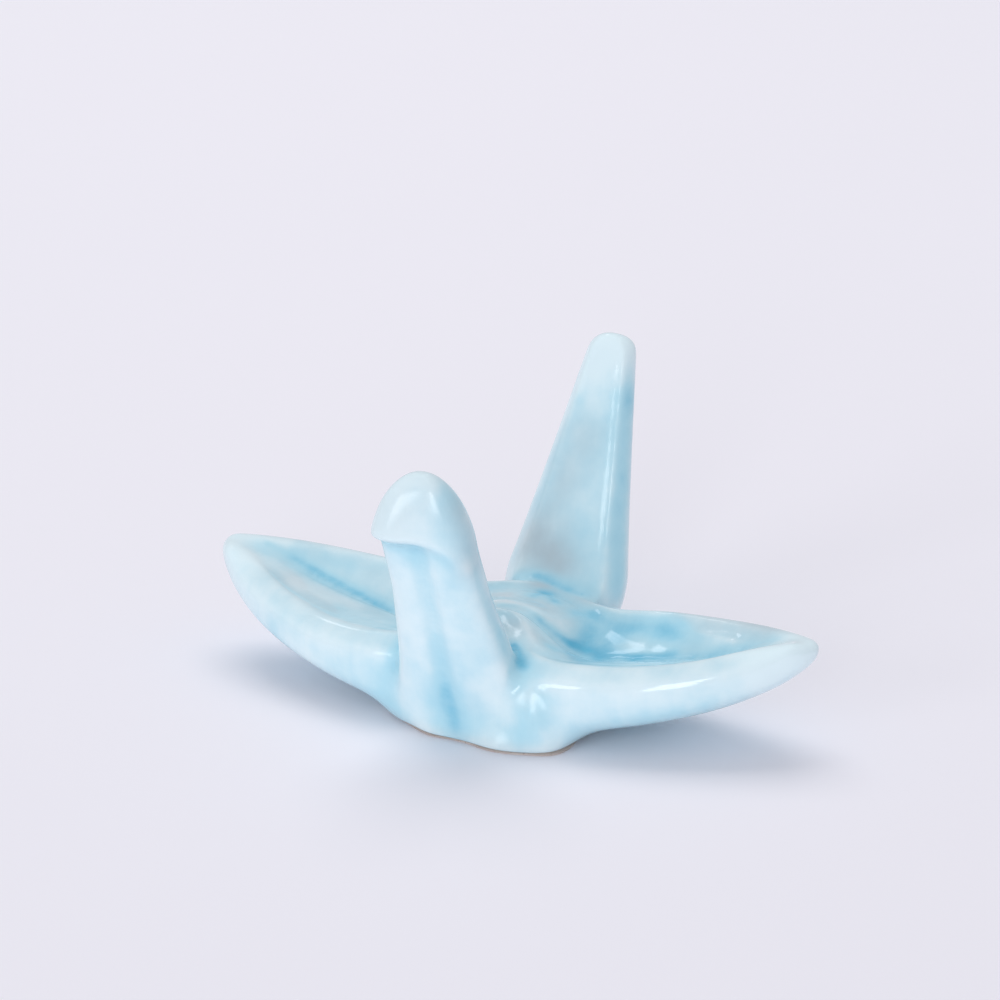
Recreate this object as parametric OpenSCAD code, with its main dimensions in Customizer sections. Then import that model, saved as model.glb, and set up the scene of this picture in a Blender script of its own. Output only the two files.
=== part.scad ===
// Chopstick rest in the shape of a folded paper crane, slip-cast porcelain under a blue celadon glaze.
// It is one fired piece, drawn in the parts that its folds divide it into.
// X runs from wing tip to wing tip, the head is at -Y and the tail at +Y, and the foot stands on Z = 0.

/* [Wings] */
// Length from wing tip to wing tip
span = 78; // [70:1:86]
// Width of the trough where it crosses the body, front rim to rear rim
chord_root = 22.6; // [20.6:0.2:24.6]
// Width of the trough just before the tips round off
chord_tip = 11; // [9:0.5:13]
// How far behind the root the middle of each tip lies
wing_sweep = 4.3; // [2:0.1:6]
// How far ahead of the middle of the foot the root of the wings lies
wing_lead = 2.9; // [1.5:0.1:4]
// Height of the rims beside the body
rim_height_root = 10.4; // [9.4:0.1:11.4]
// Height that the rims would reach at the very tips
rim_height_tip = 14.1; // [12:0.1:16]
// How much the tips round over below that
tip_droop = 1.3; // [0.5:0.1:2]
// How much lower the rear rim is than the front one at the root
rim_fall_root = 0.4; // [0:0.1:1]
// How much lower the rear rim is than the front one at the tips
rim_fall_tip = 1.6; // [0:0.1:2.4]
// Height of the section beside the body, rim to underside
wing_depth_root = 10.6; // [10:0.1:11.4]
// Height of the section near the tips
wing_depth_tip = 6.9; // [6:0.1:8]
// Depth of the fold between the rims at the root
hollow_root = 3.4; // [2.4:0.1:4]
// Depth of the fold where it runs out near the tips
hollow_tip = 0.3; // [0.1:0.1:0.8]
// Width of the rounded edge along each rim
rim_width = 1.7; // [1.2:0.1:2.2]

/* [Body] */
// Width of the middle part between the two wings
body_width = 29.6; // [29.4:0.2:31]
// Height of the back, where the chopsticks lie
back_height = 12.5; // [11.8:0.1:13.2]
// Width of the back between the two hollows of the wings
back_width = 14; // [12:0.5:16]
// How much lower the back is at the tail than at the fold across it
back_fall = 1.8; // [0.8:0.1:2.6]
// Depth of the fold that crosses the back
back_fold = 0.5; // [0.2:0.1:0.9]
// Depth of the nick in the front rim behind the neck
nick_depth = 8.7; // [7.7:0.1:9.4]
// Width of that nick
nick_width = 15; // [13:0.5:17]
// How much higher the front rim is inside the nick
nick_rise = 1.8; // [1:0.1:2.4]
// How far the rear rim swells out towards the tail
rear_swell = 4.2; // [3:0.1:5]
// Width of that swelling
rear_swell_width = 16; // [14:0.5:18]
// How much fuller the belly is below the back than the wings are
belly_drop = 2.4; // [2:0.1:2.8]

/* [Neck] */
// Width of the neck where it leaves the belly
neck_width_root = 15.6; // [14.6:0.2:16.6]
// Width of the neck under the head
neck_width_top = 11.4; // [10.4:0.2:12.4]
// Thickness of the neck at the root, front to back
neck_depth_root = 8.9; // [8.1:0.1:9.7]
// Thickness of the neck under the head
neck_depth_top = 6.9; // [6.3:0.1:7.5]
// Part of the thickness that lies ahead of the widest line
neck_front = 2.9; // [2.3:0.1:3.5]
// Place of that widest line on the foot's top, ahead of the middle of the foot
neck_lead = 10.8; // [10:0.1:11.6]
// Lean of the neck, ahead of upright
neck_lean = 19; // [16:0.5:22]
// How far the neck spreads over the foot at its root
neck_flare = 0.9; // [0:0.1:1.2]
// Width of the groove down the front of the neck
neck_groove_width = 3.4; // [2.4:0.1:4.4]
// Depth of that groove
neck_groove_depth = 0.9; // [0.5:0.1:1.3]

/* [Head] */
// Height of the crown above the table
head_top = 34.7; // [33:0.1:37]
// Height of the hood's lower edge
hood_height = 25.6; // [24.6:0.1:26.6]
// How far the hood stands out over the front of the neck
beak_reach = 2.8; // [2:0.1:3.6]
// Lean of the middle of the head, ahead of upright
head_lean = 10.6; // [6:0.2:15]

/* [Tail] */
// Height of the tip of the tail above the table
tail_top = 37.4; // [34:0.1:40]
// Width of the tail at the height of the rims
tail_width_root = 15.6; // [14.6:0.1:16.6]
// Width of the tail below its rounded tip
tail_width_tip = 4.8; // [3.8:0.1:5.6]
// Thickness of the tail at the height of the rims
tail_depth_root = 5.8; // [5:0.1:6.6]
// Thickness of the tail below its rounded tip
tail_depth_tip = 3.2; // [2.6:0.1:3.8]
// Place of the tail's widest line at the foot's top, behind the middle of the foot
tail_back = 11.2; // [10.6:0.1:11.8]
// Lean of the tail, behind upright
tail_lean = 22.3; // [18:0.1:26]
// Height of the root, over which the tail draws in towards the foot
tail_heel_height = 6.6; // [5:0.2:8]
// Height over which the tip rounds off
tail_tip_height = 2.2; // [1.6:0.1:2.8]

/* [Foot] */
// Width of the bare foot on the table
foot_width = 25.6; // [24.6:0.1:26]
// Length of the bare foot from neck to tail
foot_depth = 30; // [28:0.1:30.6]
// Height of the foot up to the underside of the body
foot_height = 1.4; // [1:0.1:1.8]
// How far the trimmed foot is turned against the wings
foot_turn = -9; // [-10:1:0]
// How far the foot sits towards the right wing
foot_shift = 1.2; // [0:0.1:1.4]

/* [Hidden] */

glaze_colour = [0.79, 0.90, 0.95];
pooled_colour = [0.62, 0.82, 0.91];
bare_colour = [0.90, 0.82, 0.76];

// Powers that shape how the sizes above change from the root to the tips
sweep_power_share = 1.9;
chord_power_share = 2.2;
rim_power_share = 1.7;
depth_power_share = 1.2;
hollow_power_share = 0.84;
// Powers that round things off: a larger one keeps full size longer and then turns quicker
tip_power_share = 5;
hollow_end_power_share = 5;
section_power_share = 4.1;
neck_power_share = 2.6;
foot_power_share = 3.4;
flare_power_share = 3;
cap_power_share = 2.2;
head_power_share = 2;
back_power_share = 2.5;
belly_power_share = 6;
bell_power_share = 2;
fold_power_share = 1.15;
nick_reach_power_share = 0.6;
edge_power_share = 8;
// Where along the half span the hollow runs out
hollow_end_share = 0.93;
// Height of the rounded rim against half its width
rim_crown_share = 0.9;
// Last station before the tip closes, as a share of a quarter turn
tip_close_share = 0.995;
// Where up the neck it has reached its upper width and thickness
neck_taper_share = 0.72;
// How far up the neck its spread root reaches
flare_reach_share = 0.3;
// Half width of the fold that crosses the back
fold_reach = 1.2;

half_span = span / 2;
joint_x = body_width / 2;
neck_slope = tan(neck_lean);
tail_slope = tan(tail_lean);
head_slope = tan(head_lean);
crown_height = head_top - hood_height;

// Numbers of stations and points
body_steps = 28;
wing_steps = 26;
under_points = 22;
rim_points = 5;
floor_points = 22;
ring_points = 28;
neck_steps = 14;
head_steps = 14;
tail_steps = 20;
groove_points = 20;

function mix(a, b, t) = a + (b - a) * t;
function clip(t) = min(max(t, 0), 1);
function bell(x, width, power) = exp(-pow(2 * abs(x) / width, power));
function rounding(t, power) = sqrt(max(1 - pow(clip(t), power), 0));
function signed_power(v, power) = sign(v) * pow(abs(v), power);

// Sizes of the trough at a distance along the span
function out_share(x) = abs(x) / half_span;
function end_share(x) = rounding(out_share(x), tip_power_share);
function middle_y(x) = -wing_lead + wing_sweep * pow(out_share(x), sweep_power_share);
function half_chord(x) = mix(chord_root, chord_tip, pow(out_share(x), chord_power_share)) / 2 * end_share(x);
function rim_z(x) = mix(rim_height_root, rim_height_tip, pow(out_share(x), rim_power_share))
    - tip_droop * (1 - end_share(x));
function half_fall(x) = mix(rim_fall_root, rim_fall_tip, out_share(x)) / 2 * end_share(x);
function depth(x) = mix(wing_depth_root, wing_depth_tip, pow(out_share(x), depth_power_share)) * end_share(x)
    + belly_drop * bell(x, body_width, belly_power_share);
function hollow_left(x) = rounding(out_share(x) / hollow_end_share, hollow_end_power_share);
function hollow(x) = mix(hollow_root, hollow_tip, pow(out_share(x), hollow_power_share)) * hollow_left(x);
function edge_width(x) = half_chord(x) - max(half_chord(x) - rim_width, 0) * hollow_left(x);
function nick(x) = nick_depth * bell(x, nick_width, bell_power_share);
function front_y(x) = middle_y(x) - half_chord(x) + nick(x);
function rear_y(x) = middle_y(x) + half_chord(x) + rear_swell * bell(x, rear_swell_width, bell_power_share);
function front_z(x) = rim_z(x) + half_fall(x) + nick_rise * bell(x, nick_width, bell_power_share);
function rear_z(x) = rim_z(x) - half_fall(x);

// The underside, from the rear rim under the belly to the front rim
function under_point(x, turn) =
    let (
        along = signed_power(cos(turn), 2 / section_power_share),
        down = pow(sin(turn), 2 / section_power_share),
        from_nick = nick(x) * (1 - pow(1 - down * down, nick_reach_power_share)),
        y = along > 0
            ? middle_y(x) + (rear_y(x) - middle_y(x)) * along
            : middle_y(x) + (middle_y(x) - front_y(x) + from_nick) * along,
        rim = mix(front_z(x), rear_z(x), (1 + along) / 2),
        z = mix(rim, rim_z(x) - depth(x), down)
    )
    [x, y, max(z, foot_height)];

// A rounded rim, from its outer edge over to its inner edge
function rim_point(x, outer_y, z, inward, turn) =
    let (half = edge_width(x) / 2)
    [x, outer_y + inward * half * (1 - cos(turn)), z + min(half, rim_width / 2) * rim_crown_share * sin(turn)];

// The floor between the rims, folded along the middle and raised to the back over the belly
function floor_point(x, across) =
    let (
        y_front = front_y(x) + edge_width(x),
        y_rear = rear_y(x) - edge_width(x),
        y = across < 0
            ? middle_y(x) + (middle_y(x) - y_front) * across
            : middle_y(x) + (y_rear - middle_y(x)) * across,
        rim = mix(front_z(x), rear_z(x), (1 + across) / 2),
        trough_z = rim - hollow(x) * pow(1 - abs(across), fold_power_share),
        behind = y - middle_y(x),
        back_z = back_height - back_fall * behind / (chord_root / 2)
            - back_fold * exp(-pow(behind / fold_reach, 2)),
        raised = bell(x, back_width, back_power_share) * (1 - pow(abs(across), edge_power_share))
    )
    [x, y, trough_z + (max(back_z, trough_z) - trough_z) * raised];

// One closed section of the trough, square to the span
function trough_section(x) = concat(
    [for (i = [0 : under_points]) under_point(x, 180 * i / under_points)],
    [for (i = [1 : rim_points]) rim_point(x, front_y(x), front_z(x), 1, 180 * i / (rim_points + 1))],
    [for (i = [0 : floor_points]) floor_point(x, 2 * i / floor_points - 1)],
    [for (i = [1 : rim_points]) rim_point(x, rear_y(x), rear_z(x), -1, 180 - 180 * i / (rim_points + 1))]
);

// Stations along one wing, closer together towards the tip
joint_turn = asin(joint_x / half_span);
wing_stations = [for (i = [0 : wing_steps])
    half_span * sin(mix(joint_turn, 90 * tip_close_share, i / wing_steps))];
body_stations = [for (i = [0 : body_steps]) mix(-joint_x, joint_x, i / body_steps)];

// A rounded ring at one height: half its width, its reach to the front and its reach to the back
function ring(z, y, half_width, reach_front, reach_back, power) = [for (i = [0 : ring_points - 1])
    let (
        turn = 360 * i / ring_points,
        side = signed_power(sin(turn), 2 / power),
        fore = signed_power(cos(turn), 2 / power)
    )
    [half_width * side, y - fore * (fore > 0 ? reach_front : reach_back), z]];

function neck_y(z) = -neck_lead - neck_slope * (z - foot_height);
function neck_ring(z) =
    let (
        up = pow(clip((z - foot_height) / (hood_height - foot_height) / neck_taper_share), neck_taper_share),
        depth = mix(neck_depth_root, neck_depth_top, up),
        flare = neck_flare * pow(1 - clip(up / flare_reach_share), flare_power_share)
    )
    ring(z, neck_y(z), mix(neck_width_root, neck_width_top, up) / 2 + flare,
        neck_front + flare, depth - neck_front, neck_power_share);
neck_rings = [for (i = [0 : neck_steps])
    neck_ring(mix(foot_height, hood_height, i / neck_steps))];

// The hood: it stands out over the front of the neck and rounds off to the crown
function head_ring(z) =
    let (closing = rounding((z - hood_height) / crown_height, head_power_share))
    ring(z, neck_y(hood_height) - head_slope * (z - hood_height), neck_width_top / 2 * closing,
        (neck_front + beak_reach) * closing, (neck_depth_top - neck_front) * closing, neck_power_share);
head_rings = [for (i = [0 : head_steps])
    head_ring(hood_height + crown_height * sin(90 * tip_close_share * i / head_steps))];

// The tail: a flat front between two ridges, bevelled sides and a rounded back
tail_ridge_share = 0.6;
tail_back_share = 0.5;
tail_front_share = 0.24;
tail_heel_share = 0.3;
tail_taper_share = 0.92;
function tail_y(z) = tail_back + tail_slope * (z - foot_height);
function tail_ring(z) =
    let (
        up = (z - rim_height_root) / (tail_top - rim_height_root),
        closing = rounding((z - tail_top + tail_tip_height) / tail_tip_height, cap_power_share),
        above_heel = clip((z - foot_height) / tail_heel_height),
        drawn_in = tail_heel_share * pow(1 - above_heel, 2),
        width = mix(tail_width_root, tail_width_tip, pow(max(up, 0), tail_taper_share)),
        half = width / 2 * closing * (1 - drawn_in),
        thick = mix(tail_depth_root, tail_depth_tip, up) * closing,
        front = thick * tail_front_share,
        back = (thick - front) * (1 - 2 * drawn_in),
        y = tail_y(z)
    )
    [[half * tail_ridge_share, y - front, z], [half, y, z], [half, y + front, z],
     [half * tail_back_share, y + back, z], [-half * tail_back_share, y + back, z],
     [-half, y + front, z], [-half, y, z], [-half * tail_ridge_share, y - front, z]];
tail_rings = [for (i = [0 : tail_steps])
    tail_ring(foot_height + (tail_top - foot_height) * sin(90 * tip_close_share * i / tail_steps))];

// A closed skin over a row of rings with the same number of points
module skin(rings) {
    count = len(rings[0]);
    last = (len(rings) - 1) * count;
    polyhedron(
        points = [for (r = rings) each r],
        faces = concat(
            [[for (i = [count - 1 : -1 : 0]) i]],
            [for (r = [0 : len(rings) - 2], i = [0 : count - 1])
                each [[r * count + i, r * count + (i + 1) % count, (r + 1) * count + (i + 1) % count],
                      [r * count + i, (r + 1) * count + (i + 1) % count, (r + 1) * count + i]]],
            [[for (i = [0 : count - 1]) last + i]]
        ),
        convexity = 8
    );
}

// A solid over a row of full, rounded rings
module stack(rings) {
    for (r = [0 : len(rings) - 2])
        hull() skin([rings[r], rings[r + 1]]);
}

module neck_groove() {
    radius = neck_groove_width / 2;
    out = neck_front + radius - neck_groove_depth;
    for (r = [0 : neck_steps - 1])
        hull()
            for (z = [r, r + 1])
                let (height = mix(foot_height, hood_height, z / neck_steps))
                translate([0, neck_y(height) - out, height]) sphere(r = radius, $fn = groove_points);
}

module foot() {
    color(bare_colour)
        translate([foot_shift, 0, 0])
            rotate(foot_turn)
            linear_extrude(height = foot_height)
                polygon([for (i = [0 : ring_points * 2 - 1])
                    let (turn = 180 * i / ring_points)
                    [foot_width / 2 * signed_power(cos(turn), 2 / foot_power_share),
                     foot_depth / 2 * signed_power(sin(turn), 2 / foot_power_share)]]);
}

module body() {
    color(pooled_colour)
        difference() {
            skin([for (x = body_stations) trough_section(x)]);
            stack(neck_rings);
            stack(tail_rings);
        }
}

module wing_left() {
    color(glaze_colour)
        skin([for (i = [wing_steps : -1 : 0]) trough_section(-wing_stations[i])]);
}

module wing_right() {
    color(glaze_colour)
        skin([for (x = wing_stations) trough_section(x)]);
}

module neck() {
    color(glaze_colour)
        difference() {
            stack(neck_rings);
            neck_groove();
        }
}

module head() {
    color(glaze_colour)
        stack(head_rings);
}

module tail() {
    color(glaze_colour)
        stack(tail_rings);
}

foot();
body();
wing_left();
wing_right();
neck();
head();
tail();
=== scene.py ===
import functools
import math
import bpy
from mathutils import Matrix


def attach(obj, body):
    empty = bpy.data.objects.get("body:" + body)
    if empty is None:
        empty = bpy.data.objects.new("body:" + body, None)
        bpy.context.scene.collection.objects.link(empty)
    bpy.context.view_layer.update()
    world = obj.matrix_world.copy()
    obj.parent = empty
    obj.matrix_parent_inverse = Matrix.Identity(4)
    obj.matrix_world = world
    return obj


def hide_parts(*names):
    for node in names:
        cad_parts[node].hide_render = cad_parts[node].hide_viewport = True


bl_info = {
    "name": "Folded crane chopstick rest",
    "version": (1, 0, 0),
    "blender": (4, 5, 0),
    "location": "3D View > Sidebar > Crane rest",
    "description": "A chopstick rest in the form of a folded paper crane, in pale blue glazed porcelain",
    "category": "Object",
}

import bpy
import numpy as np
from bpy.props import FloatProperty, FloatVectorProperty, IntProperty, PointerProperty
from mathutils import Vector

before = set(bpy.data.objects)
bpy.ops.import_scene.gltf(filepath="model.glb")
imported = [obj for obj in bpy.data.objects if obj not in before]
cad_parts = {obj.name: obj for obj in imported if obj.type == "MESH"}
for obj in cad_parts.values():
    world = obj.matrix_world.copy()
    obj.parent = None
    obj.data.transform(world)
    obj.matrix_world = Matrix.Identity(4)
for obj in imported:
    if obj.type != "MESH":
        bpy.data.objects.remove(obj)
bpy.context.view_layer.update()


def length(name, default, description):
    return FloatProperty(name=name, default=default, description=description, unit="LENGTH", precision=5)


def tilt(name, degrees, description):
    return FloatProperty(name=name, default=math.radians(degrees), description=description, subtype="ANGLE")


def share(name, default, description):
    return FloatProperty(name=name, default=default, description=description, precision=3)


def count(name, default, description):
    return IntProperty(name=name, default=default, description=description)


def tint(name, default, description):
    return FloatVectorProperty(name=name, default=default, description=description, subtype="COLOR", size=3)


class CraneWings(bpy.types.PropertyGroup):
    span: length("Span", 0.078, "From wing tip to wing tip")
    chord_root: length("Chord at the root", 0.0226, "Front rim to rear rim beside the body")
    chord_tip: length("Chord at the tip", 0.011, "Front rim to rear rim before the tips round off")
    sweep: length("Sweep", 0.0043, "How far behind the root the middle of each tip lies")
    lead: length("Lead", 0.0029, "How far ahead of the foot's middle the root lies")
    rim_root: length("Rim height at the root", 0.0104, "Height of the rims beside the body")
    rim_tip: length("Rim height at the tip", 0.0141, "Height that the rims would reach at the tips")
    tip_droop: length("Tip droop", 0.0013, "How much the tips round over")
    fall_root: length("Rim fall at the root", 0.0004, "Rear rim below the front one")
    fall_tip: length("Rim fall at the tip", 0.0016, "Rear rim below the front one")
    depth_root: length("Depth at the root", 0.0106, "Rim to underside beside the body")
    depth_tip: length("Depth at the tip", 0.0069, "Rim to underside near the tips")
    valley_back: length("Valley place", 0.0028, "How far behind the middle the fold between the rims runs")
    valley_left: length("Valley on the left", 0.0012, "How much further behind it runs along the left wing")
    crease_depth: length("Crease depth", 0.0006, "How much deeper the fold is cut along its line")
    crease_width: length("Crease width", 0.0006, "Half width of that line")
    front_dip_left: length("Front dip on the left", 0.0013, "How much lower its front rim runs")
    front_dip_right: length("Front dip on the right", 0.0006, "How much lower its front rim runs")
    hollow_root: length("Hollow at the root", 0.0034, "Depth of the fold between the rims")
    hollow_tip: length("Hollow at the tip", 0.0005, "Depth of the fold where it runs out")
    rim_width: length("Rim width", 0.0017, "Width of the rounded edge along each rim")
    shoulder_width: length("Shoulder width", 0.0034, "Width of the broad rounded front rim")
    shoulder_drop: length("Shoulder drop", 0.0030, "How far down the outer face its rounding starts")
    shoulder_inner: length("Shoulder inside", 0.0012, "How much lower its inner edge lies than the rim")
    shoulder_crown: length("Shoulder crown", 0.0008, "How far the rounding bulges")
    shelf_start: length("Shelf start", 0.0160, "Where the shelf behind the right wing's hollow begins")
    shelf_end: length("Shelf end", 0.0295, "Where that shelf reaches the fold")
    shelf_curve: share("Shelf curve", 0.56, "How long the shelf stays narrow: less is longer")
    shelf_fall: share("Shelf fall", 0.14, "How much of the hollow's depth the shelf has at the fold")
    bowl: share("Bowl", 0.6, "How flat the right hollow is behind its fold: 1 is a V, less is flatter")


class CraneBack(bpy.types.PropertyGroup):
    height: length("Height of the back", 0.0125, "Where the chopsticks lie")
    width: length("Width of the back", 0.014, "Between the two hollows")
    fall: length("Fall", 0.0018, "How much lower the back is at the tail")
    fold_depth: length("Fold depth", 0.0007, "Depth of the fold across the back")
    fold_width: length("Fold width", 0.0011, "Half width of that fold")
    dent_depth: length("Dent depth", 0.0007, "Depth of the dent between the back and the rear rim")
    nick_depth: length("Nick depth", 0.0083, "Nick in the front rim behind the neck")
    nick_width: length("Nick width", 0.0127, "Width of that nick")
    nick_left: share("Nick on the left", 0.9, "Its width on the left side, to that on the right")
    nick_rise: length("Nick rise", 0.0018, "How much higher the rim is inside the nick")
    swell: length("Rear swell", 0.0042, "How far the rear rim swells out towards the tail")
    swell_width: length("Swell width", 0.016, "Width of that swelling")
    rear_dip: length("Rear dip", 0.0013, "How much lower the rear rim runs in front of the tail")
    rear_crown: length("Rear crown", 0.0009, "How much it rises again a little to the left")
    fold_start: length("Cross fold start", 0.0014, "Where the small fold beside the back begins")
    fold_end: length("Cross fold end", 0.0068, "Where it ends, towards the tail")
    cross_depth: length("Cross fold depth", 0.0006, "Depth of that small fold")
    belly_drop: length("Belly drop", 0.0024, "How much fuller the belly is than the wings")
    belly_width: length("Belly width", 0.0255, "Width of the belly")
    belly_left: share("Belly on the left", 0.87, "Its width on the left side, to that on the right")


class CraneNeck(bpy.types.PropertyGroup):
    width_root: length("Width at the root", 0.0156, "Where the neck leaves the belly")
    width_top: length("Width at the top", 0.0114, "Under the head")
    depth_root: length("Thickness at the root", 0.0089, "Front to back")
    depth_top: length("Thickness at the top", 0.0069, "Front to back under the head")
    front: length("Front", 0.0029, "Thickness ahead of the widest line")
    lead: length("Lead", 0.0108, "Widest line ahead of the foot's middle, at the root")
    lean: tilt("Lean", 19, "Lean of the neck, ahead of upright")
    root_height: length("Root height", 0.0014, "Height at which the lean is counted from")
    groove_width: length("Groove width", 0.0012, "Half width of the groove down the front")
    groove_depth: length("Groove depth", 0.0007, "Depth of that groove")
    flare_right: length("Right flare", 0.0046, "How far the root spreads towards the right wing")
    swell_right: length("Right swell", 0.0009, "How much fuller the right edge is half way up")
    flare_left: length("Left flare", 0.0016, "How far the root spreads towards the left wing")
    flare_front: length("Front flare", 0.0004, "How far the root spreads over the foot")
    flare_height: length("Flare height", 0.0055, "Height over which the root spreads")


class CraneHead(bpy.types.PropertyGroup):
    top: length("Crown height", 0.0347, "Height of the crown above the table")
    hood: length("Hood height", 0.0256, "Where the head starts to round off")
    lip: length("Lip height", 0.0265, "Lower edge of the hood in front")
    lip_fall: length("Lip fall", 0.0024, "How far the lip comes down on the right")
    lip_soft: length("Lip softness", 0.0017, "Height over which the lip steps back to the neck")
    beak: length("Beak reach", 0.0028, "How far the hood stands out over the neck")
    beak_fade: share("Beak fade", 0.75, "How much less the hood stands out on the right")
    face_slope: share("Face slope", 0.8, "Form of the face from beak up: 1 is straight, less is fuller")
    lean: tilt("Lean", 10.6, "Lean of the head, ahead of upright")
    turn: tilt("Turn", 8, "How far the beak is turned towards the left wing")


class CraneTail(bpy.types.PropertyGroup):
    top: length("Tip height", 0.0374, "Height of the tip above the table")
    width_root: length("Width at the root", 0.0157, "At the height of the rims")
    width_tip: length("Width at the tip", 0.0056, "Below the rounded tip")
    depth_root: length("Thickness at the root", 0.0058, "At the height of the rims")
    depth_tip: length("Thickness at the tip", 0.0032, "Below the rounded tip")
    place: length("Place", 0.0112, "Widest line behind the foot's middle, at the root")
    lean: tilt("Lean", 22.3, "Lean of the tail, behind upright")
    heel: length("Heel height", 0.0070, "Over which the root draws in")
    tip: length("Tip rounding", 0.0022, "Height over which the tip rounds off")
    foot_flare: length("Root fillet", 0.0012, "How far the front of the tail runs out over the rear rim")
    aside: length("Aside", -0.0009, "How far its root stands off the middle, towards the right wing")


class CraneFoot(bpy.types.PropertyGroup):
    width: length("Width", 0.0256, "Of the bare foot on the table")
    depth: length("Length", 0.030, "Of the bare foot from neck to tail")
    line: length("Glaze line", 0.0002, "Height of the bare clay below the glaze")
    inset: length("Inset", 0.0006, "How far the bare clay lies inside the glaze")
    skirt: length("Skirt height", 0.0052, "Height over which the glaze flows out to the foot")


class CraneGlaze(bpy.types.PropertyGroup):
    voxel: length("Grain of the skin", 0.00028, "Size of the faces of the finished skin")
    fillet: length("Fillet", 0.0008, "Radius to which the glaze fills inner corners")
    soften: count("Softening", 9, "Rounds that soften every fold under the glaze")
    soften_root: count("Root softening", 60, "Rounds that run the neck's root into the belly")
    soften_rim: count("Rim softening", 45, "Rounds that round the broad front rims of the wings")
    thin: tint("Thin glaze", (0.76, 0.91, 0.955), "On rims, ridges and lobes")
    even: tint("Even glaze", (0.47, 0.76, 0.87), "On open surfaces")
    # The pooled glaze and the veil also colour painted shade: on the right-hand sides of head, neck and
    # tail, under the hood's lip, in the crease at the tail's root and, for the veil, along the foot.
    pooled_and_shade: tint("Pooled glaze", (0.10, 0.48, 0.69), "In folds and hollows")
    veil_and_shade: tint("Veil", (0.46, 0.55, 0.60), "Grey milkiness on flat places")
    bare: tint("Bare clay", (0.50, 0.43, 0.40), "Trimmed edge of the foot")


class CraneStage(bpy.types.PropertyGroup):
    azimuth: tilt("Camera azimuth", 28, "Round the crane from its head")
    elevation: tilt("Camera elevation", 19.71, "Above the table")
    distance: length("Camera distance", 0.75, "From the camera to the middle of the view")
    lens: FloatProperty(name="Lens", default=230.8, description="Focal length", subtype="DISTANCE_CAMERA")
    aim_x: length("Aim X", -0.00565, "Middle of the view")
    aim_y: length("Aim Y", 0.00853, "Middle of the view")
    aim_z: length("Aim Z", 0.02104, "Middle of the view")
    floor: tint("Table", (0.945, 0.925, 0.98), "Colour of the table")


SETTINGS = {
    "crane_wings": CraneWings,
    "crane_back": CraneBack,
    "crane_neck": CraneNeck,
    "crane_head": CraneHead,
    "crane_tail": CraneTail,
    "crane_foot": CraneFoot,
    "crane_glaze": CraneGlaze,
    "crane_stage": CraneStage,
}


def settings(name):
    """The settings of one part of the crane, kept with the scene."""
    return getattr(bpy.context.scene, name)


HALF = 0.5
TINY = 1e-12


def mix(a, b, t):
    """From a at t = 0 to b at t = 1, in a straight line."""
    return a + (b - a) * t


def clip(t):
    return np.clip(t, 0, 1)


def ease(t):
    """Smooth step from 0 to 1."""
    t = clip(t)
    return t * t * (3 - 2 * t)


def bell(x, width, power=2):
    """1 in the middle, falling to about a third half a width away: an exponential of a power of x."""
    return np.exp(-np.abs(2 * x / width) ** power)


def rounding(t, power):
    """Quarter of a superellipse: 1 at t = 0, falling to 0 at t = 1."""
    return np.sqrt(np.maximum(1 - clip(t) ** power, 0))


def signed_power(v, power):
    return np.sign(v) * np.abs(v) ** power


def ramp(t, start, reach):
    """Smooth step from 0 at the start to 1 a reach further on."""
    return ease((t - start) / reach)


def fade(t, end, reach):
    """Smooth step from 1, a reach before the end, to 0 at the end."""
    return ease((end - t) / reach)


# The powers of the way from root to tip by which the wings change.
TIP_POWER = 5
SWEEP_POWER = 1.9
CHORD_POWER = 2.2
RIM_POWER = 1.7
DEPTH_POWER = 1.2
VALLEY_POWER = 4
HOLLOW_POWER_LEFT = 1.35
HOLLOW_POWER_RIGHT = 1.8

# Shares of the way from root to tip, of which a pair is a start and the reach over which something eases
# in from there, and the share of the hollow that is lost towards the tip.
TROUGH_END = 0.93
LEFT_VALLEY = (0, 0.6)
SHALLOW = (0.66, 0.26)
SHALLOW_SHARE = 0.8

# Places, reaches and widths along the span, in metres, the powers of their bells, and the shares of the
# front dip that is lost and of the valley's distance by which it bends at the root.
FRONT_DIP = (0.008, 0.014)
DIP_LOSS = (0.030, 0.009)
DIP_LOSS_SHARE = 0.5
BELLY_X = 0.0012
BELLY_POWER = 6
REAR_DIP_WIDTH = 0.026
REAR_DIP_POWER = 4
REAR_CROWN_X, REAR_CROWN_WIDTH = -0.004, 0.009
VALLEY_BEND, VALLEY_BEND_WIDTH = 0.25, 0.02


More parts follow.
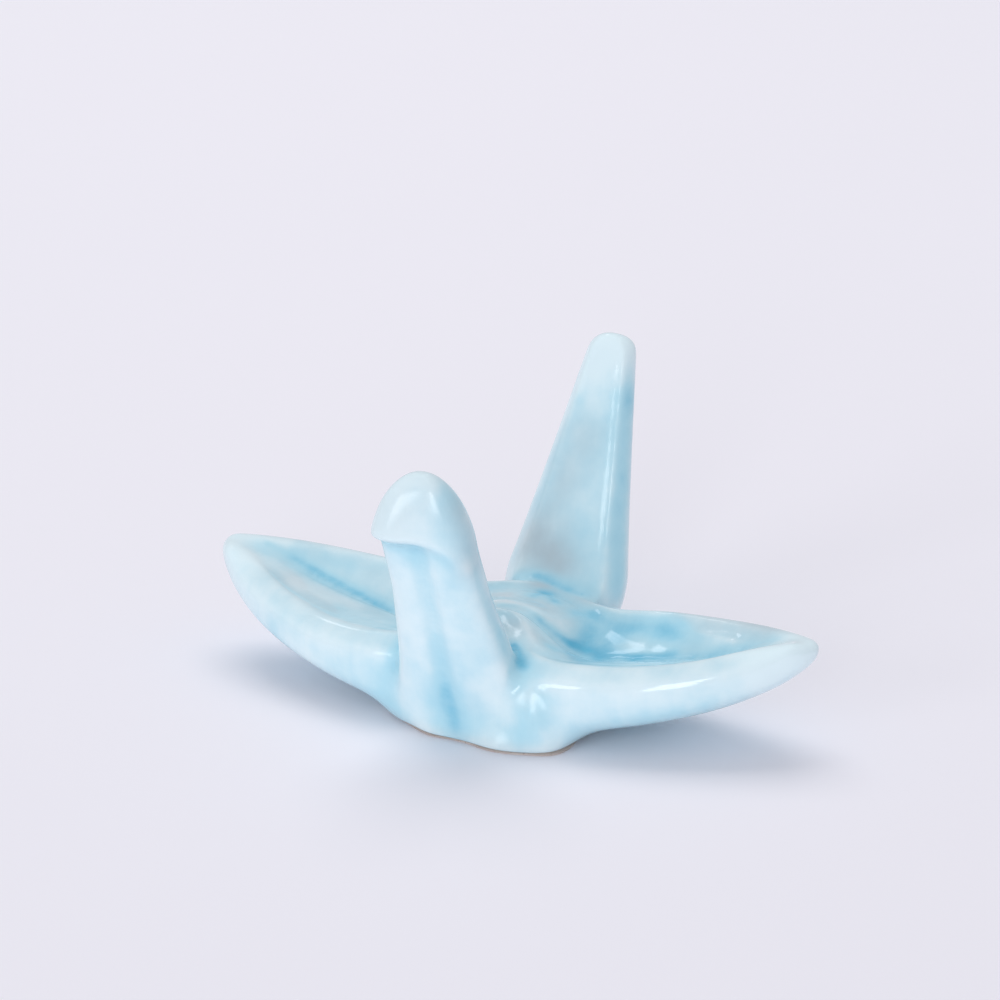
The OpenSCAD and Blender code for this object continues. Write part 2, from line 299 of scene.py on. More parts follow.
def wing_sections(x):
    """The trough at the places x along the span, as columns: its middle line, rims, depth and hollow. Each
    runs from root to tip by a power of the way out, and the tips close as a superellipse."""
    w, b = settings("crane_wings"), settings("crane_back")
    off, out = np.abs(x), np.abs(x) / (w.span / 2)
    end = rounding(out, TIP_POWER)
    inside = rounding(out / TROUGH_END, TIP_POWER)
    run_out = 1 - SHALLOW_SHARE * ramp(out, *SHALLOW)
    middle = -w.lead + w.sweep * out**SWEEP_POWER
    half = mix(w.chord_root, w.chord_tip, out**CHORD_POWER) / 2 * end
    rim = mix(w.rim_root, w.rim_tip, out**RIM_POWER) - w.tip_droop * (1 - end)
    fall = mix(w.fall_root, w.fall_tip, out) / 2 * end
    nick_bell = bell(x, b.nick_width * np.where(x < 0, b.nick_left, 1))
    nick = b.nick_depth * nick_bell
    dip = np.where(x < 0, w.front_dip_left, w.front_dip_right)
    dip = dip * ramp(off, *FRONT_DIP) * (1 - DIP_LOSS_SHARE * ramp(off, *DIP_LOSS))
    rear_dip = b.rear_dip * bell(x, REAR_DIP_WIDTH, REAR_DIP_POWER)
    rear_crown = b.rear_crown * bell(x - REAR_CROWN_X, REAR_CROWN_WIDTH)
    bend = 1 - VALLEY_BEND * bell(x, VALLEY_BEND_WIDTH)
    valley = middle + w.valley_back * (1 - out**VALLEY_POWER) * bend
    hollow_power = np.where(x < 0, HOLLOW_POWER_LEFT, HOLLOW_POWER_RIGHT)
    belly = bell(x - BELLY_X, b.belly_width * np.where(x < BELLY_X, b.belly_left, 1), BELLY_POWER)
    return {
        "x": x,
        "middle": middle,
        "valley": valley + w.valley_left * (x < 0) * ramp(out, *LEFT_VALLEY),
        "nick": nick,
        "front_y": middle - half + nick,
        "rear_y": middle + half + b.swell * bell(x, b.swell_width),
        "front_z": rim + fall + b.nick_rise * nick_bell - dip,
        "rear_z": rim - fall - rear_dip + rear_crown,
        "rim": rim,
        "depth": mix(w.depth_root, w.depth_tip, out**DEPTH_POWER) * end + b.belly_drop * belly,
        "hollow": mix(w.hollow_root, w.hollow_tip, out**hollow_power) * inside * run_out,
        "edge": half - np.maximum(half - w.rim_width, 0) * inside,
        "shoulder": half - np.maximum(half - w.shoulder_width, 0) * inside,
        "drop": w.shoulder_drop * inside,
        "inner": w.shoulder_inner * inside * run_out,
    }


# The powers of the underside, of the nick's way down it and of the shoulder, and how high the rear edge
# is rounded, as a share of its half width.
UNDERSIDE_POWER = 4.1
NICK_FADE_POWER = 0.6
EDGE_HEIGHT = 0.9
SHOULDER_POWER = 0.9


def underside(s, turn, lowest):
    """A superellipse from the rear rim down round the belly and up to the front shoulder."""
    along = signed_power(np.cos(turn), 2 / UNDERSIDE_POWER)
    down = np.sin(turn) ** (2 / UNDERSIDE_POWER)
    from_nick = s["nick"] * (1 - (1 - down * down) ** NICK_FADE_POWER)
    reach_front = s["middle"] - s["front_y"] + from_nick
    y = s["middle"] + np.where(along > 0, (s["rear_y"] - s["middle"]) * along, reach_front * along)
    edges = mix(s["front_z"] - s["drop"], s["rear_z"], (1 + along) / 2)
    z = mix(edges, s["rim"] - s["depth"], down)
    return np.stack([s["x"] + 0 * y, y, np.maximum(z, lowest)], axis=-1)


def rear_rim(s, turn):
    """Half an ellipse over the rear rim, from its inner edge to its outer edge."""
    half = s["edge"] / 2
    y = s["rear_y"] - half * (1 - np.cos(turn))
    z = s["rear_z"] + np.minimum(half, settings("crane_wings").rim_width / 2) * EDGE_HEIGHT * np.sin(turn)
    return np.stack([s["x"] + 0 * y, y, z], axis=-1)


def front_shoulder(s, turn):
    """A slanted half ellipse from the outer face up over the broad front rim to its inner edge."""
    w = settings("crane_wings")
    across = (1 - np.cos(turn)) / 2
    y = s["front_y"] + s["shoulder"] * across
    z = s["front_z"] - s["drop"] * (1 - across) - s["inner"] * across
    z = z + w.shoulder_crown * s["shoulder"] / w.shoulder_width * np.sin(turn) ** SHOULDER_POWER
    return np.stack([s["x"] + 0 * y, y, z], axis=-1)


# Stretches of the span, in metres, and of the shelf, as shares: a start and an end, each with its reach.
BOWL_START, BOWL_END = (0.006, 0.004), (0.030, 0.008)
CREASE_START, CREASE_END = (0.006, 0.004), (0.034, 0.006)
SHELF_START, SHELF_END = (0, 0.15), (1, 0.15)

# The powers of the hollow across the trough, and of the back's rise along and across the span, and the
# smallest share that is divided by.
FLOOR_POWER = 1.15
SHELF_POWER = 0.55
BACK_POWER = 2.5
BACK_EDGE_POWER = 8
SMALLEST_SHARE = 1e-3

# The dent between the back and the rear rim, and the cross fold beside it, in metres but for its slant.
DENT_X, DENT_WIDTH = 0.002, 0.012
DENT_Y, DENT_LENGTH = 0.0056, 0.006
CROSS_X, CROSS_SLANT, CROSS_WIDTH = 0.00845, 0.23, 0.0015
CROSS_LEAD, CROSS_RISE, CROSS_FADE = 0.001, 0.0015, 0.002


def hollow_share(s, across):
    """The share of the hollow's depth at each place of the floor: a V across the trough, flatter in the
    right bowl, with a shelf along the right rear rim that widens outwards until it meets the fold."""
    w = settings("crane_wings")
    t = np.abs(across)
    in_bowl = ramp(s["x"], *BOWL_START) * fade(s["x"], *BOWL_END) * (across > 0)
    fold = (1 - t) ** mix(FLOOR_POWER, w.bowl, in_bowl)
    shelf_out = clip((s["x"] - w.shelf_start) / (w.shelf_end - w.shelf_start))
    edge_t = (1 - shelf_out) ** w.shelf_curve
    on_shelf = w.shelf_fall * (1 - t) / np.maximum(1 - edge_t, SMALLEST_SHARE)
    down = clip(1 - t / np.maximum(edge_t, SMALLEST_SHARE)) ** SHELF_POWER
    below = w.shelf_fall + (1 - w.shelf_fall) * down
    shelf = np.where(t > edge_t, on_shelf, below)
    has_shelf = (s["x"] > w.shelf_start) & (s["x"] < w.shelf_end) & (across > 0)
    return mix(fold, shelf, ramp(shelf_out, *SHELF_START) * fade(shelf_out, *SHELF_END) * has_shelf)


def trough_floor(s, across):
    """The floor between the rims, less the hollow and a fine crease along the fold, and raised to the back
    over the belly. The back falls to the tail, and fold, dent and cross fold are cut into it as bells."""
    w, b = settings("crane_wings"), settings("crane_back")
    y_front, y_rear = s["front_y"] + s["shoulder"], s["rear_y"] - s["edge"]
    side = np.where(across < 0, s["valley"] - y_front, y_rear - s["valley"])
    y = s["valley"] + side * across
    rim = mix(s["front_z"] - s["inner"], s["rear_z"], (1 + across) / 2)
    z = rim - s["hollow"] * hollow_share(s, across)
    behind = y - s["valley"]
    off = np.abs(s["x"])
    creased = ramp(off, *CREASE_START) * fade(off, *CREASE_END)
    z = z - w.crease_depth * np.exp(-((behind / w.crease_width) ** 2)) * creased
    back = b.height - b.fall * (y - s["middle"]) / (w.chord_root / 2)
    back = back - b.fold_depth * np.exp(-((behind / b.fold_width) ** 2))
    back = back - b.dent_depth * bell(y - DENT_Y, DENT_LENGTH) * bell(s["x"] - DENT_X, DENT_WIDTH)
    raised = bell(s["x"], b.width, BACK_POWER) * (1 - np.abs(across) ** BACK_EDGE_POWER)
    z = z + (np.maximum(back, z) - z) * raised
    aside = s["x"] - CROSS_X + CROSS_SLANT * (y - b.fold_start)
    along = ramp(y - b.fold_start, -CROSS_LEAD, CROSS_RISE) * fade(y, b.fold_end, CROSS_FADE)
    z = z - b.cross_depth * np.exp(-((aside / CROSS_WIDTH) ** 2)) * along
    return np.stack([s["x"] + 0 * y, y, z], axis=-1)


# Sections and rings stop just short of a tip or a pole, so that none shrinks to a point.
LAST_SECTION = 0.996
LAST_RING = 0.998
SECTIONS = 260
UNDERSIDE_POINTS, SHOULDER_POINTS, FLOOR_POINTS, REAR_POINTS = 90, 26, 120, 14


def trough_grid():
    """Back and wings as one skin: closed sections square to the span, closer together at the tips."""
    w, f = settings("crane_wings"), settings("crane_foot")
    places = np.sin(np.linspace(-1, 1, SECTIONS) * np.pi / 2 * LAST_SECTION) * w.span / 2
    s = wing_sections(places[:, None])
    parts = [
        underside(s, np.linspace(0, np.pi, UNDERSIDE_POINTS)[None, :], f.line),
        front_shoulder(s, np.linspace(0, np.pi, SHOULDER_POINTS)[None, 1:-1]),
        trough_floor(s, np.linspace(-1, 1, FLOOR_POINTS)[None, :]),
        rear_rim(s, np.linspace(np.pi, 0, REAR_POINTS)[None, 1:-1]),
    ]
    return np.concatenate(parts, axis=1)


# Heights in metres between which the rings lie closer for the lip, and where the crown's rings go on,
# and the share of a quarter turn at which those begin.
LIP_RINGS_START, LIP_RINGS_END = 0.022, 0.0285
CROWN_RINGS_START = 0.0286
FIRST_CROWN_RING = 0.33
NECK_RINGS, LIP_RINGS, CROWN_RINGS, NECK_AROUND = 70, 60, 60, 160

# The powers of the superellipses of neck, face, nape and crown, and the height and reach in metres in
# which the head's take over.
NECK_POWER = 2.6
FACE_POWER = 3.0
NAPE_POWER = 2.2
HEAD = (0.02, 0.006)
CROWN_POWER = 1.8

# The neck's taper, as a share of its height and a power. In metres: the swelling of its right edge, and
# how far left of the middle lip and beak start to change towards the right, with the reach of that. The
# lip comes down by a power.
TAPER_END = 0.72
TAPER_POWER = 0.72
SWELL_HEIGHT, SWELL_REACH = 0.0115, 0.015
LIP_LEFT, LIP_REACH, LIP_POWER = 0.0012, 0.0057, 5
BEAK_FADE = (-0.003, 0.007)


def neck_grid():
    """Neck and hooded head: superellipse rings stacked along a leaning line. The front has a groove up to
    the hood's lip, and above the lip it stands out as the beak, turned a little to the left."""
    n, h, f = settings("crane_neck"), settings("crane_head"), settings("crane_foot")
    low = np.linspace(f.line, LIP_RINGS_START, NECK_RINGS)
    lip = np.linspace(LIP_RINGS_START, LIP_RINGS_END, LIP_RINGS)[1:]
    rise = np.linspace(FIRST_CROWN_RING, LAST_RING, CROWN_RINGS) * np.pi / 2
    crown = h.hood + (h.top - h.hood) * np.sin(rise)
    z = np.concatenate([low, lip, crown[crown > CROWN_RINGS_START]])[:, None]
    turn = np.linspace(0, 2 * np.pi, NECK_AROUND, endpoint=False)[None, :]
    up = clip((z - n.root_height) / (h.hood - n.root_height) / TAPER_END) ** TAPER_POWER
    closing = rounding((z - h.hood) / (h.top - h.hood), CROWN_POWER)
    spread = np.exp(-((z / n.flare_height) ** 2))
    head_power = np.where(np.cos(turn) > 0, FACE_POWER, NAPE_POWER)
    power = mix(NECK_POWER, head_power, ramp(z, *HEAD))
    side = signed_power(np.sin(turn), 2 / power)
    fore = signed_power(np.cos(turn), 2 / power)
    half = mix(n.width_root, n.width_top, up) / 2 * closing
    flare_right = n.flare_right * spread + n.swell_right * bell(z - SWELL_HEIGHT, SWELL_REACH)
    x = (half + np.where(side > 0, flare_right, n.flare_left * spread)) * side
    line = -n.lead - math.tan(n.lean) * (np.minimum(z, h.hood) - n.root_height)
    line = line - math.tan(h.lean) * np.maximum(z - h.hood, 0)
    back = (mix(n.depth_root, n.depth_top, up) - n.front) * closing
    lip_z = h.lip - h.lip_fall * clip(np.maximum(x + LIP_LEFT, 0) / LIP_REACH) ** LIP_POWER
    hooded = ease((z - lip_z) / h.lip_soft + HALF)
    groove = n.groove_depth * np.exp(-((x / n.groove_width) ** 2)) * (1 - hooded)
    beak = h.beak * hooded * (1 - clip((z - h.lip) / (h.top - h.lip))) ** h.face_slope
    beak = beak * (1 - h.beak_fade * ramp(x, *BEAK_FADE))
    front = n.front * closing + beak + n.flare_front * spread
    y = line + np.where(fore > 0, -front * fore + groove, back * -fore)
    x = x + math.tan(h.turn) * (y - line) * hooded * (fore > 0)
    return np.stack([x, y, z + 0 * x], axis=-1)


GUSSET_RINGS, GUSSET_AROUND = 40, 60


def gusset_grid(centre, reach):
    """A lobe that fills the corner between neck and wing: the rings of an ellipsoid, from below."""
    rise = np.linspace(-LAST_RING, LAST_RING, GUSSET_RINGS)[:, None] * np.pi / 2
    turn = np.linspace(0, 2 * np.pi, GUSSET_AROUND, endpoint=False)[None, :]
    x = centre[0] + reach[0] * np.cos(rise) * np.cos(turn)
    y = centre[1] + reach[1] * np.cos(rise) * np.sin(turn)
    z = centre[2] + reach[2] * np.sin(rise) + 0 * turn
    return np.stack([x, y, np.maximum(z, settings("crane_foot").line)], axis=-1)


# The tail: heights in metres, of which its root is level with the wings' rims, shares of its width and
# thickness, and the powers of its curves.
TAIL_START, TAIL_ROOT = 0.0014, 0.0104
FLARE_TOP, FLARE_FADE = 0.009, 0.0018
TAIL_TIP_POWER = 2.2
TAIL_WIDTH_POWER = 0.92
TAIL_REAR_POWER = 3.2
HEEL_SHARE, HEEL_POWER = 0.3, 1.6
FRONT_SHARE = 0.24
BEVEL_LEFT, BEVEL_RIGHT = 0.36, 0.18
TAIL_RINGS, TAIL_ACROSS = 110, 60


def tail_grid():
    """The tail: rings with a flat front between two ridges, bevelled sides and a back rounded as a
    superellipse, along a leaning line. The front runs out over the rear rim as an exponential."""
    t, low = settings("crane_tail"), TAIL_START
    z = low + (t.top - low) * np.sin(np.linspace(0, LAST_RING, TAIL_RINGS) * np.pi / 2)[:, None]
    s = np.linspace(-1, 1, TAIL_ACROSS)[None, :]
    up = (z - TAIL_ROOT) / (t.top - TAIL_ROOT)
    closing = rounding((z - t.top + t.tip) / t.tip, TAIL_TIP_POWER)
    drawn = HEEL_SHARE * (1 - clip((z - low) / t.heel)) ** HEEL_POWER
    width = mix(t.width_root, t.width_tip, np.maximum(up, 0) ** TAIL_WIDTH_POWER)
    half = width / 2 * closing * (1 - drawn)
    thick = mix(t.depth_root, t.depth_tip, up) * closing
    front = thick * FRONT_SHARE
    rear = (thick - front) * (1 - 2 * drawn)
    line = t.place + math.tan(t.lean) * (z - low)
    run_out = t.foot_flare * np.exp(-np.maximum(z - FLARE_TOP, 0) / FLARE_FADE) * closing
    bevel = clip((1 - np.abs(s)) / np.where(s < 0, BEVEL_LEFT, BEVEL_RIGHT))
    front_y = line + front - (2 * front + run_out) * bevel
    rounded = (1 - np.abs(s) ** TAIL_REAR_POWER) ** (1 / TAIL_REAR_POWER)
    back_y = line + front + (rear - front) * rounded
    x = half * s + t.aside * (1 - up)
    face = np.stack([x, front_y, z + 0 * x], axis=-1)
    rear_face = np.stack([x, back_y, z + 0 * x], axis=-1)[:, ::-1]
    return np.concatenate([face, rear_face[:, 1:-1]], axis=1)


# The trimmed foot's reach from its middle, in tenths of a millimetre, in directions given in degrees, and
# the width and length in metres of the foot so described.
FOOT_DIRECTIONS = np.array(
    [-180, -165, -150, -141, -132, -123, -118, -106, -100, -94, -88, -79, -70, -61, -55, -49, -45]
    + [-41, -35, -27, -15, 0, 15, 30, 45, 60, 75, 90, 105, 120, 135, 150, 165, 180]
)
FOOT_REACH = np.array(
    [118, 126, 141, 147, 144, 146, 145, 150, 153, 150, 148, 154, 170, 178, 182, 189, 190]
    + [184, 169, 146, 138, 141, 151, 163, 168, 161, 152, 153, 155, 152, 138, 124, 117, 118]
)
TABLED_WIDTH, TABLED_DEPTH = 0.0256, 0.03
TENTH = 0.0001

# The rolling mean, in steps of half a degree: how many go round, how far it reaches to each side, and the
# width of its bell.
HALF_DEGREES = 720
MEAN_HALF = 24
MEAN_WIDTH = 8.0

# How far the skirt is drawn in at its top, in metres, and by which power of the way up.
SKIRT_REACH = 0.0035
SKIRT_POWER = 1.6
SKIRT_RINGS, SKIRT_AROUND = 30, 200


def foot_outline(turn, grow):
    """The trimmed foot's outline in the directions turn, grown outwards. Its reach runs smoothly from one
    tabled direction to the next, by a rolling mean in steps of half a degree, weighted as a bell."""
    f = settings("crane_foot")
    fine = np.linspace(-180, 180, HALF_DEGREES + 1)
    reach = np.interp(fine, FOOT_DIRECTIONS, FOOT_REACH) * TENTH
    weight = np.exp(-((np.arange(-MEAN_HALF, MEAN_HALF + 1) / MEAN_WIDTH) ** 2))
    around = np.concatenate([reach[-MEAN_HALF - 1 : -1], reach, reach[1 : MEAN_HALF + 1]])
    reach = np.convolve(around, weight / weight.sum(), "valid")
    angle = (np.degrees(turn) + 180) % 360 - 180
    out = np.interp(angle, fine, reach) + grow
    return out * np.cos(turn) * f.width / TABLED_WIDTH, out * np.sin(turn) * f.depth / TABLED_DEPTH


def skirt_grid():
    """The glaze above the foot: the foot's outline, drawn in by a power of the way up to the belly."""
    f = settings("crane_foot")
    t = np.linspace(0, 1, SKIRT_RINGS)[:, None]
    turn = np.linspace(0, 2 * np.pi, SKIRT_AROUND, endpoint=False)[None, :]
    x, y = foot_outline(turn, -SKIRT_REACH * t**SKIRT_POWER)
    return np.stack([x, y, f.line + f.skirt * t + 0 * x], axis=-1)


def tube(grid):
    """Vertices and faces of a grid of closed rings, with a fan over each end."""
    rings, around = grid.shape[:2]
    verts = np.concatenate([grid.reshape(-1, 3), grid[0].mean(0)[None], grid[-1].mean(0)[None]])
    i = np.arange(rings - 1)[:, None] * around
    j = np.arange(around)[None, :]
    k = (j + 1) % around
    quads = np.stack([i + j, i + k, i + around + k, i + around + j], axis=-1).reshape(-1, 4)
    j, k, last = j[0], k[0], (rings - 1) * around
    start = np.stack([k, j, j * 0 + rings * around], axis=-1)
    end = np.stack([last + j, last + k, j * 0 + rings * around + 1], axis=-1)
    return verts, [quads, start, end]


def mesh_object(name, verts, faces):
    """A new object with a mesh of vertices and blocks of faces."""
    mesh = bpy.data.meshes.new(name)
    mesh.from_pydata(verts.tolist(), [], [face for block in faces for face in block.tolist()])
    mesh.validate()
    mesh.update()
    obj = bpy.data.objects.new(name, mesh)
    bpy.context.scene.collection.objects.link(obj)
    return obj


def skin_over(name, verts, faces, voxel):
    """One closed skin over overlapping ones: a voxel remesh, read back as points, quads and edges."""
    mould = mesh_object(name, verts, faces)
    remesh = mould.modifiers.new("skin", "REMESH")
    remesh.mode = "VOXEL"
    remesh.voxel_size = voxel
    remesh.adaptivity = 0
    made = mould.evaluated_get(bpy.context.evaluated_depsgraph_get()).to_mesh()
    points = np.empty(len(made.vertices) * 3)
    made.vertices.foreach_get("co", points)
    corners = np.empty(len(made.loops), dtype=np.int32)
    made.loops.foreach_get("vertex_index", corners)
    edges = np.empty(len(made.edges) * 2, dtype=np.int32)
    made.edges.foreach_get("vertices", edges)
    bpy.data.objects.remove(mould)
    return points.reshape(-1, 3), corners.reshape(-1, 4), edges.reshape(-1, 2)


JOINED_ROUNDS = 4
SWOLLEN_ROUNDS = 3


def cast_skin(grids, voxel, fillet):
    """Joins overlapping closed skins into one and fills every inner corner to a radius: the joined skin
    is swollen along its normals by the fillet, joined again and shrunk by as much."""
    verts, faces, start = [], [], 0
    for grid in grids:
        v, blocks = tube(grid)
        verts.append(v)
        faces += [block + start for block in blocks]
        start += len(v)
    points, quads, edges = skin_over("mould", np.concatenate(verts), faces, voxel)
    points = relax(points, edges, 1, JOINED_ROUNDS)
    swollen = points + outward(points, quads) * fillet
    points, quads, edges = skin_over("swollen", swollen, [quads], voxel)
    points = relax(points, edges, 1, SWOLLEN_ROUNDS)
    return points - outward(points, quads) * fillet, quads, edges


def relax(points, edges, weight, rounds):
    """Moves each point halfway to the mean of its neighbours, by its weight, a number of times."""
    a, b = edges[:, 0], edges[:, 1]
    near = np.maximum(np.bincount(edges.ravel(), minlength=len(points)), 1)[:, None]
    for _ in range(rounds):
        total = [np.bincount(a, v[b], len(points)) + np.bincount(b, v[a], len(points)) for v in points.T]
        points = points + HALF * weight * (np.stack(total, axis=1) / near - points)
    return points


def outward(points, quads):
    """The mean of the faces' outward normals round each point."""
    p = points[quads]
    n = np.cross(p[:, 2] - p[:, 0], p[:, 3] - p[:, 1])
    total = np.stack([np.bincount(quads.ravel(), np.repeat(v, 4), len(points)) for v in n.T], axis=1)
    return total / np.maximum(np.linalg.norm(total, axis=1), TINY)[:, None]


# How glaze gathers in folds: rounds of softening, the step in metres that counts as full, and a weight.
FOLD_SCALES = ((12, 0.00009, 0.3), (60, 0.00028, 0.4), (260, 0.0008, 0.3))

# How much depth folds, level places and hanging ones give, and how much of it level ridges lose.
FOLD_GLAZE, LEVEL_GLAZE, HUNG_GLAZE = 0.7, 0.2, 0.3
RIDGE_LOSS = 0.6

# How far a normal points up or down where glaze starts to settle or to hang, and the reach of that.
LEVEL, HUNG = (0.45, 0.45), (0.05, 0.5)

# The veil: on level places, and hidden where the glaze is deep. Along the foot, up to a height in metres,
# grey painted contact shade is added to it.
LEVEL_VEIL, FOOT_SHADE = 0.24, 0.55
FOOT_SHADE_TOP = 0.0022
VEIL_HIDDEN = (0.3, 0.7)

# Rounds that soften the attributes.
STATE_ROUNDS = 3


def glaze_state(points, edges, normals):
    """The four GLAZE_ATTRIBUTES. The surface is compared with softer copies of itself: where the softer
    one stands outside it the glaze has run in. It also settles on level places, hangs under sloping ones
    and follows the runs, some of which paint shade. Along the foot, painted contact shade is added to the
    veil."""
    soft, fold = points, 0
    for rounds, full_step, weight in FOLD_SCALES:
        soft = relax(soft, edges, 1, rounds)
        step = ((soft - points) * normals).sum(axis=1) / full_step
        fold = fold + np.clip(step, -1, 1) * weight
    settled = ramp(normals[:, 2], *LEVEL) * (1 - RIDGE_LOSS * clip(-fold))
    hung = ramp(-normals[:, 2], *HUNG)
    depth = fold * FOLD_GLAZE + settled * LEVEL_GLAZE + hung * HUNG_GLAZE + run_amounts(points, GLAZE_AND_SHADE_RUNS)
    shown = 1 - ramp(depth, *VEIL_HIDDEN)
    veil_and_shade = np.maximum(settled * LEVEL_VEIL + run_amounts(points, GLAZE_VEILS_AND_SHADE), 0) * shown
    # Painted contact shade: grey, darker towards the table along the foot.
    veil_and_shade = veil_and_shade + FOOT_SHADE * (1 - ease(points[:, 2] / FOOT_SHADE_TOP))
    found = np.stack([depth, veil_and_shade, run_amounts(points, GLAZE_SATIN), run_amounts(points, GLAZE_CALM)], axis=1)
    return relax(found, edges, 1, STATE_ROUNDS).T


class Term:
    """A number socket in a material, so that shader maths reads as a Python expression."""

    def __init__(self, shader, socket):
        self.shader, self.socket = shader, socket

    def __add__(self, other):
        return self.shader.maths("ADD", self, other)

    def __sub__(self, other):
        return self.shader.maths("SUBTRACT", self, other)

    def __rsub__(self, other):
        return self.shader.maths("SUBTRACT", other, self)

    def __mul__(self, other):
        return self.shader.maths("MULTIPLY", self, other)

    def above(self, other):
        return self.shader.maths("GREATER_THAN", self, other)

    def step(self, low, high):
        """Smooth step from 0 at low to 1 at high."""
        inputs = {"Value": self, "From Min": low, "From Max": high}
        made = self.shader.node("ShaderNodeMapRange", {"interpolation_type": "SMOOTHSTEP"}, inputs)
        return Term(self.shader, made.outputs["Result"])

    __radd__, __rmul__ = __add__, __mul__


class Finish:
    """A material under construction: maths, colours and every other node come from its methods."""

    def __init__(self, name):
        self.material = bpy.data.materials.new(name)
        self.material.use_nodes = True
        self.tree = self.material.node_tree
        self.shader = self.tree.nodes["Principled BSDF"]

    def link(self, value, socket):
        value = value.socket if isinstance(value, Term) else value
        if isinstance(value, bpy.types.NodeSocket):
            self.tree.links.new(value, socket)
        else:
            socket.default_value = value

    def node(self, kind, options, inputs):
        made = self.tree.nodes.new(kind)
        for key, value in options.items():
            setattr(made, key, value)
        for key, value in inputs.items():
            self.link(value, made.inputs[key])
        return made

    def maths(self, operation, a, b):
        return Term(self, self.node("ShaderNodeMath", {"operation": operation}, {0: a, 1: b}).outputs[0])

    def blend(self, a, b, factor):
        """A colour between a and b."""
        made = self.node("ShaderNodeMix", {"data_type": "RGBA"}, {"Factor": factor, 6: a, 7: b})
        return made.outputs[2]

    def place(self):
        return self.node("ShaderNodeTexCoord", {}, {}).outputs["Object"]

    def noise(self, place, kind):
        """A noise at a place, of a kind given as scale and detail."""
        scale, detail = kind
        made = self.node("ShaderNodeTexNoise", {}, {"Vector": place, "Scale": scale, "Detail": detail})
        return Term(self, made.outputs["Fac"])

    def attribute(self, name):
        made = self.node("ShaderNodeAttribute", {"attribute_name": name}, {})
        return Term(self, made.outputs["Fac"])

    def set(self, values):
        for key, value in values.items():
            self.link(value, self.shader.inputs[key])


def full(colour):
    return (*colour, 1.0)


# Each noise has a count to the metre and a level of detail. It runs from 0 to 1, round a half.
CLOUDS, BLOTS, STREAKS = (150.0, 4.0), (420.0, 3.0), (520.0, 3.0)
FINE, WAVES = (2400.0, 2.0), (190.0, 2.0)

# The streaks' scale along X, Y and Z, less where they are drawn out, how much depth each noise adds,
# between which depths the colours change, and how much of the veil shows, evenly and in clouds.
STREAK_DRAW = (1.0, 0.3, 0.12)
CLOUD_DEPTH, BLOT_DEPTH, STREAK_DEPTH = 0.95, 0.45, 0.35
THIN_TO_EVEN = (-0.4, 0.6)
EVEN_TO_POOLED = (0.45, 1.6)
VEIL_SHOWN, VEIL_CLOUDS = 0.7, 1.2

# Pinholes: cells to the metre, a hole's edge as a share of a cell, how rare holes are, tint and strength.
CELL_SCALE = 330.0
HOLE_EDGE = (0.04, 0.09)
HOLE_RARITY = 0.985
HOLE_TINT = (0.30, 0.40, 0.42)
HOLE_SHOWN, HOLE_SINK = 0.7, 0.5

# The surface: how much each noise adds to the bump and to the roughness, the bumps' height in metres, and
# the glaze's refraction.
WAVE_BUMP, BLOT_BUMP, FINE_BUMP = 0.7, 0.12, 0.03
BUMP_STRENGTH = 0.4
GLAZE_BUMP, CLAY_BUMP = 0.0002, 0.0001
SMOOTH, BLOT_ROUGH, SATIN_ROUGH = 0.06, 0.05, 0.2
REFRACTION = 1.52


def celadon_glaze():
    """Pale blue celadon: thin and milky on ridges, deep blue where it has pooled, clouded like watercolour
    and drawn down in streaks, with a grey veil, a few pinholes and fine bubbles. The depth and veil it reads
    also
    hold painted shade: along the foot, under the hood's lip, on the right-hand sides of head, neck and tail,
    and in the crease at the tail's root."""
    g = settings("crane_glaze")
    m = Finish("celadon glaze")
    place = m.place()
    depth, veil_and_shade, satin, calm = [m.attribute(name) for name in GLAZE_ATTRIBUTES]
    clouds = m.noise(place, CLOUDS) - HALF
    blots = m.noise(place, BLOTS) - HALF
    hanging = m.node("ShaderNodeMapping", {}, {"Vector": place, "Scale": STREAK_DRAW})
    streaks = m.noise(hanging.outputs["Vector"], STREAKS) - HALF
    fine = m.noise(place, FINE) - HALF
    depth = depth + clouds * CLOUD_DEPTH + blots * BLOT_DEPTH + streaks * STREAK_DEPTH
    colour = m.blend(full(g.thin), full(g.even), depth.step(*THIN_TO_EVEN))
    colour = m.blend(colour, full(g.pooled_and_shade), depth.step(*EVEN_TO_POOLED))
    colour = m.blend(colour, full(g.veil_and_shade), veil_and_shade * (VEIL_SHOWN + clouds * VEIL_CLOUDS))
    cells = m.node("ShaderNodeTexVoronoi", {}, {"Vector": place, "Scale": CELL_SCALE})
    rare = m.node("ShaderNodeSeparateColor", {}, {"Color": cells.outputs["Color"]})
    hole = 1 - Term(m, cells.outputs["Distance"]).step(*HOLE_EDGE)
    hole = hole * Term(m, rare.outputs["Red"]).above(HOLE_RARITY)
    colour = m.blend(colour, full(HOLE_TINT), hole * HOLE_SHOWN)
    waves = m.noise(place, WAVES)
    height = waves * WAVE_BUMP + blots * BLOT_BUMP + fine * FINE_BUMP
    height = height * (1 - calm) - hole * HOLE_SINK
    relief = {"Strength": BUMP_STRENGTH, "Distance": GLAZE_BUMP, "Height": height}
    normal = m.node("ShaderNodeBump", {}, relief).outputs["Normal"]
    rough = SMOOTH + (blots + HALF) * BLOT_ROUGH + satin * SATIN_ROUGH
    m.set({"Base Color": colour, "Roughness": rough, "Normal": normal, "IOR": REFRACTION})
    return m.material


GRIT, FLASH = (2600.0, 4.0), (130.0, 3.0)
FLASH_TINT = (0.66, 0.58, 0.54)
FLASH_EDGE = (0.3, 0.75)
GRIT_TINT = (0.34, 0.26, 0.22)
GRIT_EDGE = (0.58, 0.72)
GRIT_SHOWN = 0.6
CLAY_ROUGH, GRIT_ROUGH = 0.72, 0.2


